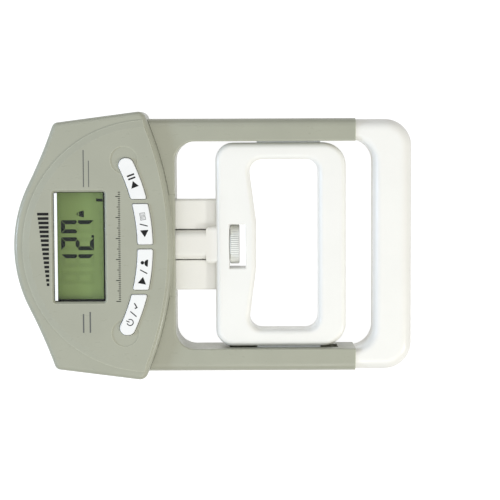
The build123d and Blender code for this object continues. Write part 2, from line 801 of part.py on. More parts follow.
def make_retaining_ring():
    ring = rod(*ring_x, ring_radius) - rod(ring_x[0] - 1, ring_x[1] + 1, screw_radius - 0.4 + fit_gap)
    return ring - block(ring_x[0] - 1, ring_x[1] + 1, -1.6, 1.6, split_z, split_z + 8)


def make_thrust_washer():
    return rod(*washer_x, washer_radius) - rod(washer_x[0] - 1, washer_x[1] + 1, screw_radius + 0.3)


# ---------------------------------------------------------------- fasteners
def screw_set(spots, *sizes):
    return Compound(children=[pan_screw(x, y, *sizes) for x, y in mirrored_spots(spots)])


def board_screws():
    """Short screws driven up through the board into the head cover."""
    solids = []
    for x, y in mirrored_spots(board_screw_spots):
        solids.append(pan_screw(x, y, board_z[0] - 1.2, 26.4, 1.0, 1.9, 1.2))
    return Compound(children=solids)


def main():
    os.makedirs("parts", exist_ok=True)
    frame = frame_block()
    export("front_frame", make_front_frame(frame))
    export("rear_frame", make_rear_frame(frame))
    export("battery_door", make_battery_door(frame))

    buttons = {
        "start_button": (button_outer_y, 1, True),
        "down_button": (button_inner_y, 1, False),
        "up_button": (button_inner_y, -1, False),
        "set_button": (button_outer_y, -1, True),
    }
    faces = [button_face(*y_range, side, rounded) for y_range, side, rounded in buttons.values()]
    spots = [button_spot(y_range, side) for y_range, side, rounded in buttons.values()]
    for name, face, spot in zip(buttons, faces, spots):
        export(name, make_button(face, spot))
    export("head_cover", make_head_cover(faces))
    export("display_window", make_display_window())
    export("display_gasket", make_display_gasket())
    export("lcd_holder", make_lcd_holder())
    export("lcd_panel", make_lcd_panel())
    export("zebra_connector", make_zebra_connector())
    export("circuit_board", make_circuit_board())
    export("circuit_chips", make_circuit_chips())
    export("tact_switches", make_tact_switches(spots))

    export("load_cell", make_load_cell())
    export("strain_gauges", make_strain_gauges())
    export("sensor_wires", make_sensor_wires())
    export("link_tube", make_link_tube())
    export("lock_nut", make_lock_nut())
    export("batteries", make_batteries())
    export("battery_contacts", make_battery_contacts())
    export("battery_tray", make_battery_tray())

    palm = palm_block()
    export("palm_grip_front", make_palm_half(palm, True))
    export("palm_grip_rear", make_palm_half(palm, False))

    handle = handle_block()
    space = handle_mechanism_space()
    export("handle_front", make_handle_half(handle, space, True))
    export("handle_rear", make_handle_half(handle, space, False))
    export("guide_shoes", make_guide_shoes())
    export("thumbwheel", make_thumbwheel())
    export("adjusting_screw", make_adjusting_screw())
    export("retaining_ring", make_retaining_ring())
    export("thrust_washer", make_thrust_washer())

    export("case_screws", screw_set(case_screw_spots, 0.6, 25.0, 1.5, 2.8))
    export("rail_screws", screw_set(rail_screw_spots, 0.5, 20.0, 1.25, 2.2, 1.2))
    export("palm_screws", screw_set(palm_screw_spots, 1.2, 19.8, 1.25, 2.4))
    export("handle_screws", screw_set(handle_screw_spots, handle_z[0] + 0.6, 17.8, 1.25, 2.2, 1.2))
    export("load_cell_screws", screw_set(cell_screw_spots, 0.5, 11.8, 1.5, 2.6))
    export("board_screws", board_screws())


main()
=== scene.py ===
"""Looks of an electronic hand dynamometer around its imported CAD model.

The object lies on its back: +X runs from the display head to the palm grip, +Z out of the display.
Places and sizes of drawn details are in millimetres and become metres where meshes are made.
"""
import math

import bmesh
import bpy
from mathutils import Matrix, Vector


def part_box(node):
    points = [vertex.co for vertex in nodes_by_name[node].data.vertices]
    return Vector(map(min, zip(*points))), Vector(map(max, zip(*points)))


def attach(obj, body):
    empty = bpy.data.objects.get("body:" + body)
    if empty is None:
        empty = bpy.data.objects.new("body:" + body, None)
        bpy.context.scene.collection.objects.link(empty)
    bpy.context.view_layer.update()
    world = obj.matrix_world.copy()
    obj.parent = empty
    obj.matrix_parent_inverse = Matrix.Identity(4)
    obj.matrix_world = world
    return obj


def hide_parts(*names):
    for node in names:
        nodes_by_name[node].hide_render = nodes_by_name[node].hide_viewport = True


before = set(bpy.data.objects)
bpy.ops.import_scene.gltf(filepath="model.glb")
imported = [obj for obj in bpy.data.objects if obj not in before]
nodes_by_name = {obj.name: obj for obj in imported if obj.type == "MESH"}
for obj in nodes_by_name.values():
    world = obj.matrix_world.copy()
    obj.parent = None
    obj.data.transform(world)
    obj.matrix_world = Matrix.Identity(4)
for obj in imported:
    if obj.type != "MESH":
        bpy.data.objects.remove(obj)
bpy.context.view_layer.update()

MM = 0.001
TURN = 2 * math.pi

# ------------------------------------------------------------------ camera, nearly straight above
VIEW_DISTANCE = 0.80            # camera to the middle of the picture
VIEW_TARGET = Vector((0.0175, -0.0021, 0.025))
VIEW_TILT_Y = math.radians(4.3)     # the camera leans towards +Y
VIEW_ROLL = math.radians(-0.25)
VIEW_WIDTH = 0.239              # width of the picture at the target


def add_camera():
    data = bpy.data.cameras.new("camera")
    camera = bpy.data.objects.new("camera", data)
    bpy.context.scene.collection.objects.link(camera)
    back = Vector((0.0, math.sin(VIEW_TILT_Y), math.cos(VIEW_TILT_Y)))
    right = Vector((1.0, 0.0, 0.0))
    up = back.cross(right)
    facing = Matrix((right, up, back)).transposed()
    camera.matrix_world = (
        Matrix.Translation(VIEW_TARGET + back * VIEW_DISTANCE)
        @ facing.to_4x4()
        @ Matrix.Rotation(VIEW_ROLL, 4, "Z")
    )
    data.sensor_width = 36.0
    data.lens = data.sensor_width * VIEW_DISTANCE / VIEW_WIDTH
    data.clip_start = 0.01
    bpy.context.scene.camera = camera


# ------------------------------------------------------------------ light and floor
ZENITH = 0.91                   # brightness of the soft light straight above, at the horizon and below it
HORIZON = 0.12
BELOW = 0.34
LIGHTS = (
    # name, place, size, watts, colour
    ("front_box", (0.25, -0.70, 0.80), 0.40, 2.2, (1.0, 0.99, 0.97)),
    ("back_box", (-0.15, 0.80, 0.70), 0.40, 0.8, (1.0, 1.0, 1.0)),
    ("left_window", (-0.70, 0.02, 0.30), 0.14, 2.6, (0.62, 0.76, 1.0)),
    ("right_strip", (0.62, -0.30, 0.46), 0.08, 1.8, (1.0, 1.0, 0.97)),
)
FLOOR_GLOW = 0.92               # the floor is a light table, so the object throws almost no shadow
FLOOR_WHITE = 0.30


def add_lights():
    world = bpy.data.worlds.new("studio")
    bpy.context.scene.world = world
    world.use_nodes = True
    tree = world.node_tree
    background = tree.nodes["Background"]
    background.inputs["Color"].default_value = (1.0, 1.0, 1.0, 1.0)
    direction = tree.nodes.new("ShaderNodeTexCoord").outputs["Generated"]
    split = tree.nodes.new("ShaderNodeSeparateXYZ")
    tree.links.new(direction, split.inputs["Vector"])
    height = tree.nodes.new("ShaderNodeValToRGB")
    stops = height.color_ramp.elements
    stops[0].position, stops[0].color = 0.45, (BELOW, BELOW, BELOW, 1.0)
    stops[1].position, stops[1].color = 1.0, (ZENITH, ZENITH, ZENITH, 1.0)
    horizon = stops.new(0.5)
    horizon.color = (HORIZON, HORIZON, HORIZON, 1.0)
    raised = tree.nodes.new("ShaderNodeMapRange")
    raised.inputs["From Min"].default_value = -1.0
    tree.links.new(split.outputs["Z"], raised.inputs["Value"])
    tree.links.new(raised.outputs["Result"], height.inputs["Fac"])
    tree.links.new(height.outputs["Color"], background.inputs["Color"])
    for name, place, size, power, colour in LIGHTS:
        data = bpy.data.lights.new(name, "AREA")
        data.size = size
        data.energy = power
        data.color = colour
        light = bpy.data.objects.new(name, data)
        light.location = place
        light.rotation_euler = (-Vector(place)).to_track_quat("-Z", "Y").to_euler()
        bpy.context.scene.collection.objects.link(light)


def add_floor():
    mesh = bpy.data.meshes.new("floor")
    bm = bmesh.new()
    bmesh.ops.create_grid(bm, x_segments=1, y_segments=1, size=3.0)
    bm.to_mesh(mesh)
    bm.free()
    floor = bpy.data.objects.new("floor", mesh)
    floor.location.z = -0.2 * MM
    floor.visible_diffuse = False
    bpy.context.scene.collection.objects.link(floor)
    s = Shader("floor_white")
    s.set(Roughness=0.85, Emission_Strength=FLOOR_GLOW)
    s.bsdf.inputs["Emission Color"].default_value = (1.0, 1.0, 1.0, 1.0)
    white = (FLOOR_WHITE, FLOOR_WHITE, FLOOR_WHITE)
    s.colour(s.mix(s.noise(4.0), white, scaled(white, 1.05)))
    mesh.materials.append(s.material)


# ------------------------------------------------------------------ materials
def srgb(r, g, b):
    """Linear colour from the usual 0 to 255 values."""
    def linear(v):
        v = v / 255.0
        return v / 12.92 if v <= 0.04045 else ((v + 0.055) / 1.055) ** 2.4
    return (linear(r), linear(g), linear(b))


def scaled(colour, factor):
    return tuple(min(1.0, channel * factor) for channel in colour)


class Shader:
    """A Principled material with short ways to drive its sockets from procedural textures."""

    def __init__(self, name):
        self.material = bpy.data.materials.new(name)
        self.material.use_nodes = True
        self.tree = self.material.node_tree
        self.bsdf = self.tree.nodes["Principled BSDF"]
        self.coords = self.tree.nodes.new("ShaderNodeTexCoord").outputs["Object"]

    def node(self, kind, **values):
        made = self.tree.nodes.new(kind)
        for key, value in values.items():
            setattr(made, key, value)
        return made

    def link(self, source, target):
        self.tree.links.new(source, target)

    def feed(self, value, target):
        """Gives a socket either a link, a number or a colour."""
        if isinstance(value, (int, float)):
            target.default_value = value
        elif isinstance(value, tuple):
            target.default_value = (*value, 1.0)
        else:
            self.link(value, target)

    def set(self, **values):
        for key, value in values.items():
            self.bsdf.inputs[key.replace("_", " ")].default_value = value

    def colour(self, source):
        self.feed(source, self.bsdf.inputs["Base Color"])

    def roughness(self, source):
        self.feed(source, self.bsdf.inputs["Roughness"])

    def stretched(self, stretch):
        mapping = self.node("ShaderNodeMapping")
        mapping.inputs["Scale"].default_value = stretch
        self.link(self.coords, mapping.inputs["Vector"])
        return mapping.outputs["Vector"]

    def noise(self, scale, detail=2.0, roughness=0.5, stretch=None):
        texture = self.node("ShaderNodeTexNoise")
        texture.inputs["Scale"].default_value = scale
        texture.inputs["Detail"].default_value = detail
        texture.inputs["Roughness"].default_value = roughness
        self.link(self.stretched(stretch) if stretch else self.coords, texture.inputs["Vector"])
        return texture.outputs["Fac"]

    def cells(self, scale, feature="F1"):
        texture = self.node("ShaderNodeTexVoronoi", feature=feature)
        texture.inputs["Scale"].default_value = scale
        self.link(self.coords, texture.inputs["Vector"])
        return texture.outputs["Distance"]

    def bands(self, scale, direction="X", distortion=0.0):
        texture = self.node("ShaderNodeTexWave", bands_direction=direction)
        texture.inputs["Scale"].default_value = scale
        texture.inputs["Distortion"].default_value = distortion
        self.link(self.coords, texture.inputs["Vector"])
        return texture.outputs["Fac"]

    def axis(self, name):
        split = self.node("ShaderNodeSeparateXYZ")
        self.link(self.coords, split.inputs["Vector"])
        return split.outputs[name]

    def ramp(self, source, low, high, start=0.35, end=0.65):
        ramp = self.node("ShaderNodeMapRange")
        ramp.inputs["From Min"].default_value = start
        ramp.inputs["From Max"].default_value = end
        ramp.inputs["To Min"].default_value = low
        ramp.inputs["To Max"].default_value = high
        self.link(source, ramp.inputs["Value"])
        return ramp.outputs["Result"]

    def mix(self, factor, first, second):
        mixer = self.node("ShaderNodeMix", data_type="RGBA")
        self.feed(factor, mixer.inputs[0])
        self.feed(first, mixer.inputs[6])
        self.feed(second, mixer.inputs[7])
        return mixer.outputs[2]

    def math(self, operation, first, second):
        node = self.node("ShaderNodeMath", operation=operation)
        self.feed(first, node.inputs[0])
        self.feed(second, node.inputs[1])
        return node.outputs[0]

    def edges(self, radius):
        """Near 1 on edges and 0 on flats: a mask for colour along edges, such as the mouldings' painted
        highlight.
        """
        bevel = self.node("ShaderNodeBevel", samples=4)
        bevel.inputs["Radius"].default_value = radius
        here = self.node("ShaderNodeNewGeometry").outputs["Normal"]
        match = self.node("ShaderNodeVectorMath", operation="DOT_PRODUCT")
        self.link(bevel.outputs["Normal"], match.inputs[0])
        self.link(here, match.inputs[1])
        return self.ramp(match.outputs["Value"], 1.0, 0.0, 0.93, 0.998)

    def bump(self, height, depth):
        bump = self.node("ShaderNodeBump")
        bump.inputs["Distance"].default_value = depth
        self.link(height, bump.inputs["Height"])
        self.link(bump.outputs["Normal"], self.bsdf.inputs["Normal"])


def plastic(name, colour, roughness=0.40, grain=2400.0, depth=0.000012, tint=0.025, edge_highlight=1.06):
    """Moulded ABS: uneven pigment, eroded-mould grain, handling marks and a painted highlight that
    lightens its edges.
    """
    s = Shader(name)
    blotches = s.ramp(s.noise(42.0, 4.0, 0.6), 0.0, 1.0)
    base = s.mix(blotches, scaled(colour, 1 - tint), scaled(colour, 1 + tint))
    specks = s.ramp(s.noise(1900.0, 2.0), 0.0, 0.35, 0.56, 0.72)
    base = s.mix(specks, base, scaled(colour, 1 - 3 * tint))
    edges = s.edges(0.7 * MM)
    # painted highlight: the edges are lightened towards a brighter copy of the colour, as if light catches
    # them
    s.colour(s.mix(edges, base, scaled(colour, edge_highlight)))
    marks = s.ramp(s.noise(150.0, 5.0, 0.65, stretch=(1.0, 2.4, 1.0)), roughness - 0.05, roughness + 0.08)
    s.roughness(s.math("SUBTRACT", marks, s.math("MULTIPLY", edges, 0.08)))
    s.bump(s.noise(grain, 3.0, 0.6), depth)
    return s.material


def wheel_beige(name, axis_z, rim):
    """Beige moulding with painted shade in the grooves between its ribs."""
    s = Shader(name)
    colour = srgb(250, 251, 244)
    y = s.axis("Y")
    z = s.math("SUBTRACT", s.axis("Z"), axis_z)
    square = s.math("ADD", s.math("MULTIPLY", y, y), s.math("MULTIPLY", z, z))
    radius = s.math("SQRT", square, 0.0)
    below_rim = s.ramp(radius, 1.0, 0.0, rim - 0.28 * MM, rim - 0.03 * MM)
    above_sides = s.ramp(radius, 0.0, 1.0, rim - 0.55 * MM, rim - 0.40 * MM)
    groove_shade = s.math("MULTIPLY", below_rim, above_sides)
    base = s.mix(s.ramp(s.noise(180.0, 4.0, 0.6), 0.0, 1.0), colour, scaled(colour, 0.92))
    # painted shade: the grooves between the ribs are darkened
    s.colour(s.mix(groove_shade, base, scaled(colour, 0.62)))
    s.roughness(s.ramp(s.noise(300.0, 4.0), 0.42, 0.56))
    s.bump(s.noise(3200.0, 3.0, 0.6), 0.000012)
    return s.material


def soft_keys(name):
    """Matt white keycaps, a little darker at the rim."""
    s = Shader(name)
    white = srgb(240, 240, 236)
    base = s.mix(s.ramp(s.noise(160.0, 4.0), 0.0, 1.0), white, scaled(white, 0.97))
    s.colour(s.mix(s.edges(0.5 * MM), base, srgb(226, 226, 220)))
    s.roughness(s.ramp(s.noise(300.0, 4.0), 0.42, 0.54))
    s.bump(s.noise(3800.0, 2.0), 0.000005)
    return s.material


def ink(name, colour):
    """Screen-printed ink, thin enough for the moulding's grain to show through."""
    s = Shader(name)
    s.colour(s.mix(s.ramp(s.noise(2600.0, 3.0), 0.0, 1.0), colour, scaled(colour, 1.25)))
    s.roughness(s.ramp(s.noise(900.0, 2.0), 0.5, 0.68))
    s.set(Specular_IOR_Level=0.2)
    s.bump(s.noise(2400.0, 3.0, 0.6), 0.000006)
    return s.material


WINDOW_MIRROR = 0.30            # how much the window reflects at a glance, under an anti-glare coat
WINDOW_SHEEN = 0.012            # how much it reflects face on


def clear_window(name):
    """Clear acrylic: see-through face on, mirror-like at a glance, with hairline scratches."""
    s = Shader(name)
    weight = s.node("ShaderNodeLayerWeight")
    weight.inputs["Blend"].default_value = 0.5
    glance = s.math("POWER", weight.outputs["Facing"], 4.0)
    mirror = s.math("ADD", s.math("MULTIPLY", glance, WINDOW_MIRROR), WINDOW_SHEEN)
    s.link(mirror, s.bsdf.inputs["Alpha"])
    s.set(Metallic=1.0)
    s.colour((0.96, 0.98, 0.97))
    s.roughness(s.ramp(s.noise(900.0, 4.0, 0.7, stretch=(1.0, 14.0, 1.0)), 0.03, 0.10))
    return s.material


def lcd_glass(name):
    """Sage reflective display with its polariser's fine streaks and painted glints, and painted shade that
    darkens it towards the top of the reading.
    """
    s = Shader(name)
    # painted shade: darker towards the top of the reading, where the window's bezel shades it
    top, bottom = srgb(116, 137, 80), srgb(127, 148, 90)
    along = s.ramp(s.axis("X"), 0.0, 1.0, -0.0745, -0.0515)
    base = s.mix(along, top, bottom)
    streaks = s.ramp(s.noise(700.0, 3.0, 0.6, stretch=(1.0, 9.0, 1.0)), 0.0, 0.35)
    base = s.mix(streaks, base, scaled(top, 0.90))
    # painted glints: light specks standing in for the reflective polariser's sparkle
    glints = s.ramp(s.cells(5200.0), 0.25, 0.0, 0.0, 0.25)
    s.colour(s.mix(glints, base, srgb(150, 168, 118)))
    s.roughness(s.ramp(s.noise(1200.0, 2.0), 0.26, 0.36))
    s.set(Specular_IOR_Level=0.15)
    s.bump(s.noise(5200.0, 2.0), 0.000002)
    return s.material


def lcd_ink(name, colour, amount):
    """A display segment: dark where driven, hardly there where idle."""
    s = Shader(name)
    s.colour(s.mix(s.noise(1500.0), colour, scaled(colour, 1.15)))
    s.roughness(s.ramp(s.noise(2500.0), 0.28, 0.38))
    s.set(Alpha=amount, Specular_IOR_Level=0.1)
    return s.material


def rubber(name, colour):
    s = Shader(name)
    s.colour(s.mix(s.ramp(s.noise(500.0, 5.0, 0.7), 0.0, 1.0), colour, scaled(colour, 1.8)))
    s.roughness(s.ramp(s.noise(1200.0, 4.0), 0.62, 0.85))
    s.bump(s.cells(2600.0), 0.00003)
    return s.material


def metal(name, colour, roughness=0.28, brushed=(1.0, 18.0, 18.0), tarnish=0.12):
    """Bare metal with machining lines across the stretched axes and a thin uneven tarnish."""
    s = Shader(name)
    s.set(Metallic=1.0, Anisotropic=0.35)
    patches = s.ramp(s.noise(180.0, 5.0, 0.65), 0.0, 1.0, 0.4, 0.75)
    base = s.mix(patches, colour, scaled(colour, 1 - tarnish))
    s.colour(s.mix(s.edges(0.2 * MM), base, scaled(colour, 1.25)))
    lines = s.noise(420.0, 4.0, 0.7, stretch=brushed)
    s.roughness(s.ramp(lines, roughness - 0.08, roughness + 0.14, 0.3, 0.7))
    s.bump(lines, 0.000006)
    return s.material


def circuit_green(name):
    """Solder mask over a maze of copper tracks, with tinned pads."""
    s = Shader(name)
    tracks = s.node("ShaderNodeTexBrick", offset=0.37, squash=0.6)
    tracks.inputs["Scale"].default_value = 170.0
    tracks.inputs["Mortar Size"].default_value = 0.035
    tracks.inputs["Color1"].default_value = (*srgb(20, 84, 52), 1.0)
    tracks.inputs["Color2"].default_value = (*srgb(17, 76, 48), 1.0)
    tracks.inputs["Mortar"].default_value = (*srgb(58, 132, 74), 1.0)
    s.link(s.coords, tracks.inputs["Vector"])
    pads = s.ramp(s.cells(330.0), 1.0, 0.0, 0.10, 0.13)
    s.colour(s.mix(pads, tracks.outputs["Color"], srgb(200, 196, 178)))
    s.roughness(s.ramp(s.noise(900.0, 3.0), 0.26, 0.4))
    s.bump(tracks.outputs["Fac"], 0.00002)
    return s.material


def epoxy_black(name):
    s = Shader(name)
    black = srgb(34, 34, 36)
    s.colour(s.mix(s.ramp(s.noise(3200.0, 3.0), 0.0, 1.0), black, scaled(black, 1.7)))
    s.roughness(s.ramp(s.noise(700.0, 3.0), 0.5, 0.66))
    s.bump(s.noise(4200.0, 3.0, 0.7), 0.00001)
    return s.material


def gauge_foil(name):
    """Etched copper grid on amber film."""
    s = Shader(name)
    grid = s.ramp(s.bands(620.0, "Z"), 0.0, 1.0, 0.45, 0.6)
    s.colour(s.mix(grid, srgb(176, 106, 40), srgb(214, 160, 96)))
    s.roughness(s.ramp(s.noise(900.0), 0.25, 0.4))
    s.bump(grid, 0.00001)
    return s.material


def battery_can(name, seam_x, half_length):
    """Shrink-wrapped cells: a gold shoulder at the positive end, a dark body, bare steel tips."""
    s = Shader(name)
    turned = s.math("GREATER_THAN", s.axis("X"), seam_x)
    sign = s.math("SUBTRACT", 1.0, s.math("MULTIPLY", turned, 2.0))
    along = s.math("MULTIPLY", s.axis("Y"), sign)
    wrap = s.mix(s.noise(260.0, 3.0), srgb(34, 40, 46), srgb(42, 50, 58))
    shoulder = s.mix(s.noise(300.0, 3.0), srgb(196, 142, 62), srgb(210, 160, 84))
    bare = srgb(196, 198, 200)
    looks = s.mix(s.math("GREATER_THAN", along, half_length * 0.42), wrap, shoulder)
    tips = s.math("GREATER_THAN", s.math("ABSOLUTE", along, 0.0), half_length * 0.965)
    s.colour(s.mix(tips, looks, bare))
    s.link(s.math("MULTIPLY", tips, 0.9), s.bsdf.inputs["Metallic"])
    s.roughness(s.ramp(s.noise(500.0, 4.0), 0.2, 0.34))
    s.bump(s.noise(700.0, 3.0), 0.00001)
    return s.material


def label_stock(name):
    """Matt silver label film."""
    s = Shader(name)
    s.set(Metallic=0.35)
    s.colour(s.mix(s.noise(2600.0, 3.0), srgb(206, 208, 208), srgb(220, 222, 222)))
    s.roughness(s.ramp(s.noise(800.0, 3.0), 0.42, 0.55))
    s.bump(s.noise(1500.0, 3.0), 0.000004)
    return s.material


def assign(material, *names):
    for name in names:
        mesh = nodes_by_name[name].data
        mesh.materials.clear()
        mesh.materials.append(material)


def dress_cad_nodes():
    casing = plastic("casing_grey", srgb(166, 167, 149), roughness=0.32, edge_highlight=1.35)
    assign(casing, "front_frame", "rear_frame", "head_cover")
    assign(plastic("door_grey", srgb(165, 166, 148), roughness=0.36), "battery_door")
    white = plastic("casing_white", srgb(240, 239, 232), roughness=0.34, depth=0.000008,
                    tint=0.012, edge_highlight=1.03)
    assign(white, "palm_grip_front", "palm_grip_rear", "handle_front", "handle_rear")
    assign(soft_keys("button_white"), "start_button", "down_button", "up_button", "set_button")
    assign(clear_window("clear_window"), "display_window")
    assign(lcd_glass("lcd_glass"), "lcd_panel")
    assign(rubber("gasket_black", srgb(30, 32, 28)), "display_gasket")
    assign(rubber("zebra_black", srgb(60, 58, 62)), "zebra_connector")
    assign(plastic("lcd_holder_white", srgb(252, 253, 250), roughness=0.3, tint=0.008), "lcd_holder")
    assign(circuit_green("circuit_green"), "circuit_board")
    assign(epoxy_black("chip_black"), "circuit_chips")
    assign(metal("switch_metal", srgb(205, 207, 205), 0.3), "tact_switches")
    assign(metal("cell_aluminium", srgb(206, 208, 210), 0.34, brushed=(1.0, 22.0, 1.0)), "load_cell")
    assign(gauge_foil("gauge_foil"), "strain_gauges")
    turned = (26.0, 1.0, 1.0)
    steel = metal("steel", srgb(176, 178, 180), 0.3, brushed=turned)
    assign(steel, "link_tube", "lock_nut", "retaining_ring")
    assign(metal("screw_zinc", srgb(190, 190, 184), 0.26), "case_screws", "rail_screws", "palm_screws",
           "handle_screws", "load_cell_screws", "board_screws")
    low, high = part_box("thumbwheel")
    assign(wheel_beige("wheel_beige", (low.z + high.z) / 2, (high.z - low.z) / 2), "thumbwheel")
    acetal = plastic("shoe_white", srgb(236, 236, 230), roughness=0.28, tint=0.01)
    assign(acetal, "guide_shoes", "thrust_washer")
    low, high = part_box("batteries")
    cans = battery_can("battery_can", (low.x + high.x) / 2, high.y)
    assign(cans, "batteries")
    assign(plastic("tray_grey", srgb(150, 154, 148), roughness=0.5), "battery_tray")


# ------------------------------------------------------------------ mesh helpers, in millimetres
def flat(u, v, w):
    return (u, v, w)


def add_prism(bm, outline, low, high, place=flat):
    """A closed prism over an outline; place turns (u, v, w) into a point."""
    ends = []
    for w in (low, high):
        ends.append([bm.verts.new(Vector(place(u, v, w)) * MM) for u, v in outline])
    bm.faces.new(list(reversed(ends[0])))
    bm.faces.new(ends[1])
    count = len(outline)
    for n in range(count):
        m = (n + 1) % count
        bm.faces.new((ends[0][n], ends[0][m], ends[1][m], ends[1][n]))


def add_band(bm, outer, inner, low, high, place=flat):
    """A closed strip of even height between two runs of points."""
    runs = []
    for points, w in ((outer, low), (inner, low), (inner, high), (outer, high)):
        runs.append([bm.verts.new(Vector(place(u, v, w)) * MM) for u, v in points])
    for first, second in zip(runs, runs[1:] + runs[:1]):
        for n in range(len(outer) - 1):
            bm.faces.new((first[n], first[n + 1], second[n + 1], second[n]))
    for n in (0, -1):
        bm.faces.new([run[n] for run in runs])


def add_sweep(bm, points, radius, sides=10):
    """A closed round bar along a smooth run of points."""
    points = [Vector(p) for p in points]
    rings = []
    side = None
    for n, point in enumerate(points):
        ahead = points[min(n + 1, len(points) - 1)] - points[max(n - 1, 0)]
        ahead.normalize()
        if side is None:
            side = ahead.orthogonal().normalized()
        side = (side - ahead * side.dot(ahead)).normalized()
        other = ahead.cross(side)
        ring = []
        for k in range(sides):
            angle = TURN * k / sides
            spoke = side * math.cos(angle) + other * math.sin(angle)
            ring.append(bm.verts.new((point + spoke * radius) * MM))
        rings.append(ring)
    for first, second in zip(rings, rings[1:]):
        for k in range(sides):
            m = (k + 1) % sides
            bm.faces.new((first[k], first[m], second[m], second[k]))
    bm.faces.new(list(reversed(rings[0])))
    bm.faces.new(rings[-1])


def piece_from(bm, name, material, body, smooth=False):
    bmesh.ops.triangulate(bm, faces=[f for f in bm.faces if len(f.verts) > 4])
    bmesh.ops.recalc_face_normals(bm, faces=bm.faces)
    mesh = bpy.data.meshes.new(name)
    bm.to_mesh(mesh)
    bm.free()
    if smooth:
        mesh.shade_smooth()
    mesh.materials.append(material)
    piece = bpy.data.objects.new(name, mesh)
    bpy.context.scene.collection.objects.link(piece)
    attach(piece, body)
    return piece


def prisms_piece(name, outlines, low, high, material, body, place=flat):
    bm = bmesh.new()
    for outline in outlines:
        if isinstance(outline, tuple):
            add_band(bm, *outline, low, high, place)
        else:
            add_prism(bm, outline, low, high, place)
    return piece_from(bm, name, material, body)


# ------------------------------------------------------------------ outlines, in millimetres
def bar(u0, u1, v0, v1):
    return [(u0, v0), (u1, v0), (u1, v1), (u0, v1)]


def arc_points(cu, cv, radius, start, end, count):
    """Points of an arc, angles in degrees."""
    points = []
    for n in range(count + 1):
        angle = math.radians(start + (end - start) * n / count)
        points.append((cu + radius * math.cos(angle), cv + radius * math.sin(angle)))
    return points


def disc(cu, cv, radius, count=24):
    return arc_points(cu, cv, radius, 0.0, 360.0 * (count - 1) / count, count - 1)


def ring_part(cu, cv, inner, outer, start, end, count=28):
    """A curved strip: its outer and its inner run of points."""
    return (arc_points(cu, cv, outer, start, end, count), arc_points(cu, cv, inner, start, end, count))


def rounded(u0, u1, v0, v1, radius, count=6):
    points = arc_points(u1 - radius, v1 - radius, radius, 0, 90, count)
    points += arc_points(u0 + radius, v1 - radius, radius, 90, 180, count)
    points += arc_points(u0 + radius, v0 + radius, radius, 180, 270, count)
    return points + arc_points(u1 - radius, v0 + radius, radius, 270, 360, count)


def frame_outline(u0, u1, v0, v1, width):
    """A rectangular line as four bars."""
    return [
        bar(u0, u1, v0, v0 + width),
        bar(u0, u1, v1 - width, v1),
        bar(u0, u0 + width, v0 + width, v1 - width),
        bar(u1 - width, u1, v0 + width, v1 - width),
    ]


def moved(outline, du, dv):
    if isinstance(outline, tuple):
        return tuple(moved(run, du, dv) for run in outline)
    return [(u + du, v + dv) for u, v in outline]


# ------------------------------------------------------------------ printed marks
INK_HEIGHT = 0.015
INK_SINK = 0.010
KEY_ARC_X = -122.9              # the keys lie on an arc about this point
KEY_ARC_RADIUS = 90.65


def reading_place(u, v, w):
    """Print reads along +Y, with its top towards -X."""
    return (-v, u, w)


def key_place(y):
    """The same, turned to the arc of the keys at height y."""
    angle = math.asin(y / KEY_ARC_RADIUS)
    spot_x = KEY_ARC_X + KEY_ARC_RADIUS * math.cos(angle)

    def place(u, v, w):
        return (
            spot_x - u * math.sin(angle) - v * math.cos(angle),
            y + u * math.cos(angle) - v * math.sin(angle),
            w,
        )
    return place


def print_on_key(name, key, body, y, outlines, material):
    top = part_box(key)[1].z / MM
    prisms_piece(name, outlines, top - INK_SINK, top + INK_HEIGHT, material, body,
                 key_place(y))


def slash():
    return [(-0.95, -1.8), (-0.4, -1.8), (0.95, 1.8), (0.4, 1.8)]


def book_mark():
    """Stored readings: an open book."""
    pages = []
    for side in (-1, 1):
        edges = sorted((side * 0.15, side * 1.75))
        pages += frame_outline(edges[0], edges[1], -1.4, 1.2, 0.22)
        lines = sorted((side * 0.55, side * 1.35))
        pages += [bar(lines[0], lines[1], v, v + 0.2) for v in (-0.7, -0.1, 0.5)]
    return pages


def person_mark():
    shoulders = arc_points(0, -1.6, 1.7, 0, 180, 16)
    return [disc(0, 1.05, 0.85), shoulders]


def power_mark():
    return [ring_part(0, 0, 1.25, 1.7, 128, 412), bar(-0.22, 0.22, 0.3, 2.0)]


def tick_mark():
    return [[(-1.3, 0.1), (-0.9, 0.5), (-0.35, -0.15), (1.1, 1.5), (1.5, 1.1), (-0.35, -0.95)]]


def add_key_prints(black, grey):
    play = [[(-3.5, -1.9), (-0.3, 0.0), (-3.5, 1.9)], bar(0.6, 1.4, -1.8, 1.8), bar(2.2, 3.0, -1.8, 1.8)]
    print_on_key("start_print", "start_button", "start_key", 31.6, play, black)
    down = [[(1.7, -2.0), (1.7, 2.0), (-1.7, 0.0)]]
    print_on_key("down_print", "down_button", "down_key", 6.3, down, black)
    print_on_key("down_slash_print", "down_button", "down_key", 10.4, [slash()], black)
    print_on_key("memory_print", "down_button", "down_key", 14.5, book_mark(), grey)
    up = [[(-1.7, -2.0), (1.7, 0.0), (-1.7, 2.0)]]
    print_on_key("up_print", "up_button", "up_key", -15.9, up, black)
    print_on_key("up_slash_print", "up_button", "up_key", -11.8, [slash()], black)
    print_on_key("person_print", "up_button", "up_key", -7.6, person_mark(), black)
    print_on_key("power_print", "set_button", "set_key", -36.0, power_mark(), black)
    print_on_key("set_slash_print", "set_button", "set_key", -32.0, [slash()], black)
    print_on_key("tick_print", "set_button", "set_key", -28.4, tick_mark(), black)


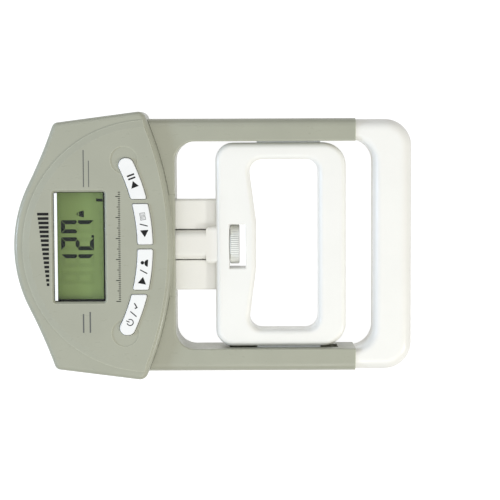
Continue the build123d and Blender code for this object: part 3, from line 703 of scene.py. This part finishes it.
def add_face_prints(black, grey):
    """Plain marks in the places where such an instrument is printed: a strength scale, rules and ticks."""
    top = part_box("head_cover")[1].z / MM
    low, high = top - INK_SINK, top + INK_HEIGHT
    scale = []
    bars = 17
    for n in range(bars):
        start = -18.5 + n * 2.1
        scale.append(bar(start, start + 1.3, 78.0, 79.0 + 4.4 * (n + 1) / bars))
    prisms_piece("strength_scale_print", scale, low, high, black, "body", reading_place)
    ticks = []
    for n in range(53):
        tall = 2.2 if n % 10 == 0 else 1.6 if n % 5 == 0 else 1.0
        ticks.append(bar(-26.0 + n - 0.2, -26.0 + n + 0.2, 44.0, 44.0 + tall))
    prisms_piece("tick_scale_print", ticks, low, high, black, "body", reading_place)
    rules = [bar(28.5, 46.0, 61.0, 61.5), bar(28.5, 41.0, 58.6, 59.0)]
    rules += [bar(-41.0, -32.0, 61.6, 62.3), bar(-41.0, -31.0, 58.4, 59.1)]
    prisms_piece("rule_print", rules, low, high, grey, "body", reading_place)


# ------------------------------------------------------------------ the display's reading
DIGIT_HEIGHT = 15.7
DIGIT_WIDTH = 6.3
STROKE = 1.95
STROKE_GAP = 0.14
READING_HEIGHT = 0.02           # driven segments above the display's top
IDLE_LOW = 0.005                # idle segments float just clear of it
IDLE_HIGH = 0.015
READING_MIDDLE = 64.85          # distance of the digits' middle from the origin, towards -X
READING = {1: "bc", 2: "abged", 7: "abcf"}
DIGIT_PLACES = ((-15.05, None), (-6.9, 1), (1.25, 2), (9.4, 7))


def segment_outlines():
    """The seven strokes of a digit about its own middle, keyed a to g as usual."""
    h, w, t, g = DIGIT_HEIGHT / 2, DIGIT_WIDTH / 2, STROKE, STROKE_GAP
    top = [(-w + g, h), (w - g, h), (w - t - g, h - t), (-w + t + g, h - t)]
    upper_right = [(w, h - g), (w, g + t * 0.2), (w - t / 2, g), (w - t, g + t / 2), (w - t, h - t - g)]
    middle = [(-w + t / 2 + g, 0), (-w + t + g, t / 2), (w - t - g, t / 2),
              (w - t / 2 - g, 0), (w - t - g, -t / 2), (-w + t + g, -t / 2)]

    def flipped(outline, su, sv):
        return [(su * u, sv * v) for u, v in outline]
    return {
        "a": top,
        "b": upper_right,
        "c": flipped(upper_right, 1, -1),
        "d": flipped(top, 1, -1),
        "e": flipped(upper_right, -1, -1),
        "f": flipped(upper_right, -1, 1),
        "g": middle,
    }


def weight_mark():
    body = [(-1.7, -1.7), (1.7, -1.7), (1.15, 0.6), (-1.15, 0.6)]
    return [body, ring_part(0, 1.05, 0.3, 0.75, -30, 210)]


def add_reading():
    dark, idle = [], []
    for place, digit in DIGIT_PLACES:
        for key, outline in segment_outlines().items():
            lit = digit is not None and key in READING[digit]
            (dark if lit else idle).append(moved(outline, place, READING_MIDDLE))
    dark.append(rounded(4.1, 5.4, READING_MIDDLE - 7.9, READING_MIDDLE - 6.6, 0.3))
    dark += [moved(outline, 15.5, 63.4) for outline in weight_mark()]
    dark.append([(21.3, 52.7), (22.7, 52.7), (22.9, 55.8), (21.5, 55.8)])
    idle += [bar(-13.2 + 4.0 * n, -11.2 + 4.0 * n, 53.2, 54.6) for n in range(8)]
    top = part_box("lcd_panel")[1].z / MM
    dark_ink = lcd_ink("segment_dark", srgb(18, 26, 22), 1.0)
    idle_ink = lcd_ink("segment_idle", srgb(84, 100, 62), 0.025)
    prisms_piece("lcd_reading", dark, top, top + READING_HEIGHT, dark_ink,
                 "body", reading_place)
    prisms_piece("lcd_idle_segments", idle, top + IDLE_LOW, top + IDLE_HIGH, idle_ink,
                 "body", reading_place)


WINDOW_STRIP = (74.0, 75.4)     # white strip on the window's edge, above the reading
WINDOW_STRIP_HALF = 25.6


def add_window_strip():
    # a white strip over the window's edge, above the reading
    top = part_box("display_window")[1].z / MM
    strip = [bar(-WINDOW_STRIP_HALF, WINDOW_STRIP_HALF, *WINDOW_STRIP)]
    white = ink("strip_white", srgb(246, 248, 242))
    prisms_piece("window_edge_strip", strip, top - INK_SINK, top + INK_HEIGHT, white,
                 "body", reading_place)


# ------------------------------------------------------------------ machined and formed parts
THREAD_PITCH = 1.25
THREAD_DEPTH = 0.70
THREAD_ROWS = 8                 # mesh rows for one turn of thread
SCREW_SIDES = 48
THREAD_END_X = 0.4
SHOULDER_X = 7.9                # the threaded bar ends here and its thin end goes into the wheel
GROOVE_X = (1.6, 2.6)
GROOVE_DEPTH = 0.4
SCREW_TIP = 0.8


def add_adjusting_screw():
    """The M8 bar with its real helical thread, in place of the plain CAD bar."""
    low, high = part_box("adjusting_screw")
    start, end = low.x / MM, high.x / MM
    axis_z = (low.z + high.z) / 2 / MM
    radius = (high.y - low.y) / 2 / MM
    thin = radius - 1.0

    def bar_radius(x, turn):
        if x > SHOULDER_X:
            return thin
        if GROOVE_X[0] < x < GROOVE_X[1]:
            return radius - GROOVE_DEPTH
        if x > THREAD_END_X:
            return radius - 0.02
        phase = ((x - start) / THREAD_PITCH - turn) % 1.0
        cut = min(1.0, max(0.0, 1.25 * (1.0 - abs(2.0 * phase - 1.0)) - 0.12))
        run_out = min(1.0, (THREAD_END_X - x) / THREAD_PITCH)
        lead_in = min(1.0, (x - start) / SCREW_TIP)
        return radius - 0.02 - THREAD_DEPTH * cut * run_out - SCREW_TIP * 0.8 * (1.0 - lead_in)

    step = THREAD_PITCH / THREAD_ROWS
    rows = [start + step * n for n in range(int((THREAD_END_X - start) / step) + 1)]
    for edge in (GROOVE_X[0], GROOVE_X[1], SHOULDER_X):
        rows += [edge - 0.001, edge + 0.001]
    rows += [THREAD_END_X, end - 0.3, end]
    rows.sort()
    bm = bmesh.new()
    rings = []
    for x in rows:
        ring = []
        for k in range(SCREW_SIDES):
            turn = k / SCREW_SIDES
            r = bar_radius(x, turn)
            if x == end:
                r -= 0.3
            ring.append(bm.verts.new(Vector((
                x, r * math.cos(turn * TURN), axis_z + r * math.sin(turn * TURN))) * MM))
        rings.append(ring)
    for first, second in zip(rings, rings[1:]):
        for k in range(SCREW_SIDES):
            m = (k + 1) % SCREW_SIDES
            bm.faces.new((first[k], first[m], second[m], second[k]))
    bm.faces.new(list(reversed(rings[0])))
    bm.faces.new(rings[-1])
    steel = metal("screw_steel", srgb(172, 174, 176), 0.26, brushed=(26.0, 1.0, 1.0))
    piece = piece_from(bm, "threaded_screw", steel, "wheel")
    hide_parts("adjusting_screw")


SPRING_WIRE = 0.25
SPRING_TURNS = 3.2
SPRING_RADII = (3.7, 1.7)
SPRING_HEIGHT = 0.45
PLATE_HALF = 4.2
PLATE_HALF_HEIGHT = 4.0
PLATE_CORNER = 1.2
PLATE_THICKNESS = 0.3
PIP_RADII = (2.2, 1.5)
PIP_STEPS = (0.25, 0.40)        # how far each step of the pip stands off the plate


def upright(u, v, w):
    """Outlines in X and Z, pushed along Y."""
    return (u, w, v)


def spring_points(x, y, z, inwards):
    points = []
    steps = int(SPRING_TURNS * 24)
    for n in range(steps + 1):
        share = n / steps
        angle = TURN * SPRING_TURNS * share
        radius = SPRING_RADII[0] + (SPRING_RADII[1] - SPRING_RADII[0]) * share
        points.append((
            x + radius * math.cos(angle),
            y + inwards * (SPRING_WIRE + SPRING_HEIGHT * share),
            z + radius * math.sin(angle),
        ))
    return points


def add_battery_contacts():
    """Pressed plates, with a raised pip at each positive end and a wound spring at each negative end."""
    low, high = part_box("battery_contacts")
    cells_low, cells_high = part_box("batteries")
    axis_z = (low.z + high.z) / 2 / MM
    radius = (cells_high.z - cells_low.z) / 2 / MM
    places = ((cells_low.x / MM + radius, 1), (cells_high.x / MM - radius, -1))
    bm = bmesh.new()
    for x, positive_end in places:
        outline = rounded(x - PLATE_HALF, x + PLATE_HALF,
                          axis_z - PLATE_HALF_HEIGHT, axis_z + PLATE_HALF_HEIGHT, PLATE_CORNER)
        for end in (1, -1):
            wall_y = end * high.y / MM
            inner_y = wall_y - end * PLATE_THICKNESS
            add_prism(bm, outline, wall_y, inner_y, upright)
            if end == positive_end:
                step_y = inner_y - end * PIP_STEPS[0]
                add_prism(bm, disc(x, axis_z, PIP_RADII[0]), inner_y, step_y, upright)
                add_prism(bm, disc(x, axis_z, PIP_RADII[1]), step_y, inner_y - end * PIP_STEPS[1], upright)
            else:
                add_sweep(bm, spring_points(x, inner_y, axis_z, -end), SPRING_WIRE)
    nickel = metal("contact_nickel", srgb(204, 202, 192), 0.24, brushed=(1.0, 1.0, 20.0))
    piece = piece_from(bm, "pressed_contacts", nickel, "body")
    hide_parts("battery_contacts")


WIRE_COLOURS = (
    ("red", (176, 40, 34)),
    ("black", (30, 30, 32)),
    ("green", (40, 122, 66)),
    ("white", (226, 226, 220)),
)
WIRE_RADIUS = 0.42
WIRE_SPREAD = 0.52              # middle of the bundle to the middle of a lead
WIRE_BEND = 1.6


def add_sensor_wires():
    """Four thin leads from the gauges up to the socket under the board, in place of the CAD loom."""
    low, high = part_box("sensor_wires")
    x = (low.x + high.x) / 2 / MM
    start_y, up_y = low.y / MM, high.y / MM - 1.0
    low_z, top_z = low.z / MM + 1.0, high.z / MM
    for n, (name, colour) in enumerate(WIRE_COLOURS):
        angle = TURN * (n + 0.5) / 4
        du, dv = WIRE_SPREAD * math.cos(angle), WIRE_SPREAD * math.sin(angle)
        bend = WIRE_BEND
        straight = int(up_y - bend - start_y) + 1
        points = [(x + du, start_y + 0.1 + 1.0 * k, low_z + dv) for k in range(straight)]
        for k in range(1, 9):
            turn = math.radians(90.0 * k / 8)
            reach = bend - dv
            points.append((x + du, up_y - bend + reach * math.sin(turn),
                           low_z + bend - reach * math.cos(turn)))
        points.append((x + du, up_y - dv, top_z))
        s = Shader("wire_" + name)
        base = srgb(*colour)
        s.colour(s.mix(s.noise(900.0, 3.0), base, scaled(base, 1.25)))
        s.roughness(s.ramp(s.noise(1500.0), 0.4, 0.55))
        s.bump(s.noise(2600.0), 0.000006)
        bm = bmesh.new()
        add_sweep(bm, points, WIRE_RADIUS)
        wire = piece_from(bm, "sensor_wire_" + name, s.material, "body", smooth=True)
        if n == 0:
            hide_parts("sensor_wires")


CHIP = (-58.0, -46.0, 28.0, 40.0)       # X and Y of the processor under the board
LEG_PITCH = 0.8
LEG_WIDTH = 0.34
LEG_OUTLINE = [
    (0, -0.55), (0.45, -0.55), (0.62, -0.14), (1.1, -0.14),
    (1.1, 0.0), (0.5, 0.0), (0.36, -0.4), (0, -0.4),
]


def add_chip_legs():
    """Gull-wing legs on the four sides of the processor."""
    board_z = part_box("circuit_board")[0].z / MM
    middle_x, middle_y = (CHIP[0] + CHIP[1]) / 2, (CHIP[2] + CHIP[3]) / 2
    half = (CHIP[1] - CHIP[0]) / 2
    count = 13
    bm = bmesh.new()
    for side in range(4):
        turn = TURN * side / 4
        c, s = round(math.cos(turn)), round(math.sin(turn))
        for n in range(count):
            offset = (n - (count - 1) / 2) * LEG_PITCH

            def place(u, v, w, c=c, s=s):
                out, across = half + u, w
                return (middle_x + out * c - across * s, middle_y + out * s + across * c, board_z + v)
            add_prism(bm, LEG_OUTLINE, offset - LEG_WIDTH / 2, offset + LEG_WIDTH / 2, place)
    piece_from(bm, "chip_legs", metal("solder_tin", srgb(200, 200, 196), 0.34), "body")


LABEL_RECESS = 0.25             # depth of the label's recess in the back
LABEL_BOX = (-57.0, -27.0, -22.0, 22.0)
LABEL_EDGE = 1.6                # film edge to ruled border
LABEL_COLUMN = 5.5
LABEL_LINE = 0.2
FILM_THICKNESS = 0.08


def add_back_label(black):
    """A blank rating label in the recess of the back, with ruled boxes and no lettering."""
    depth = LABEL_RECESS
    u0, u1, v0, v1 = LABEL_BOX
    film = rounded(u0 + 0.4, u1 - 0.4, v0 + 0.4, v1 - 0.4, 1.6)
    prisms_piece("rating_label", [film], depth - FILM_THICKNESS, depth, label_stock("label_film"),
                 "body")
    left, right, bottom, top = u0 + LABEL_EDGE, u1 - LABEL_EDGE, v0 + LABEL_EDGE, v1 - LABEL_EDGE
    lines = frame_outline(left, right, bottom, top, LABEL_LINE)
    for n in range(1, 5):
        column = left + LABEL_COLUMN * n
        lines.append(bar(column, column + LABEL_LINE, bottom + LABEL_LINE, top - LABEL_LINE))
    prisms_piece("rating_rules", lines, depth - 0.095, depth - 0.075, black, "body")


ARROW_BASE_X = -67.2
ARROW_TIP_X = -70.2
ARROW_HALF_WIDTH = 3.0


def add_door_arrow():
    """A raised arrowhead that shows which way the battery door slides."""
    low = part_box("battery_door")[0]
    outline = [(ARROW_BASE_X, -ARROW_HALF_WIDTH), (ARROW_BASE_X, ARROW_HALF_WIDTH), (ARROW_TIP_X, 0.0)]
    grey = plastic("arrow_grey", srgb(165, 166, 148), roughness=0.36)
    prisms_piece("door_arrow", [outline], low.z / MM - 0.2, low.z / MM + 0.1, grey, "door")


bpy.context.scene.view_settings.view_transform = "Standard"
add_camera()
add_lights()
add_floor()
dress_cad_nodes()
black_ink = ink("print_black", srgb(24, 25, 24))
grey_ink = ink("print_grey", srgb(96, 98, 94))
add_key_prints(black_ink, grey_ink)
add_face_prints(black_ink, grey_ink)
add_reading()
add_window_strip()
add_adjusting_screw()
add_battery_contacts()
add_sensor_wires()
add_chip_legs()
add_back_label(black_ink)
add_door_arrow()
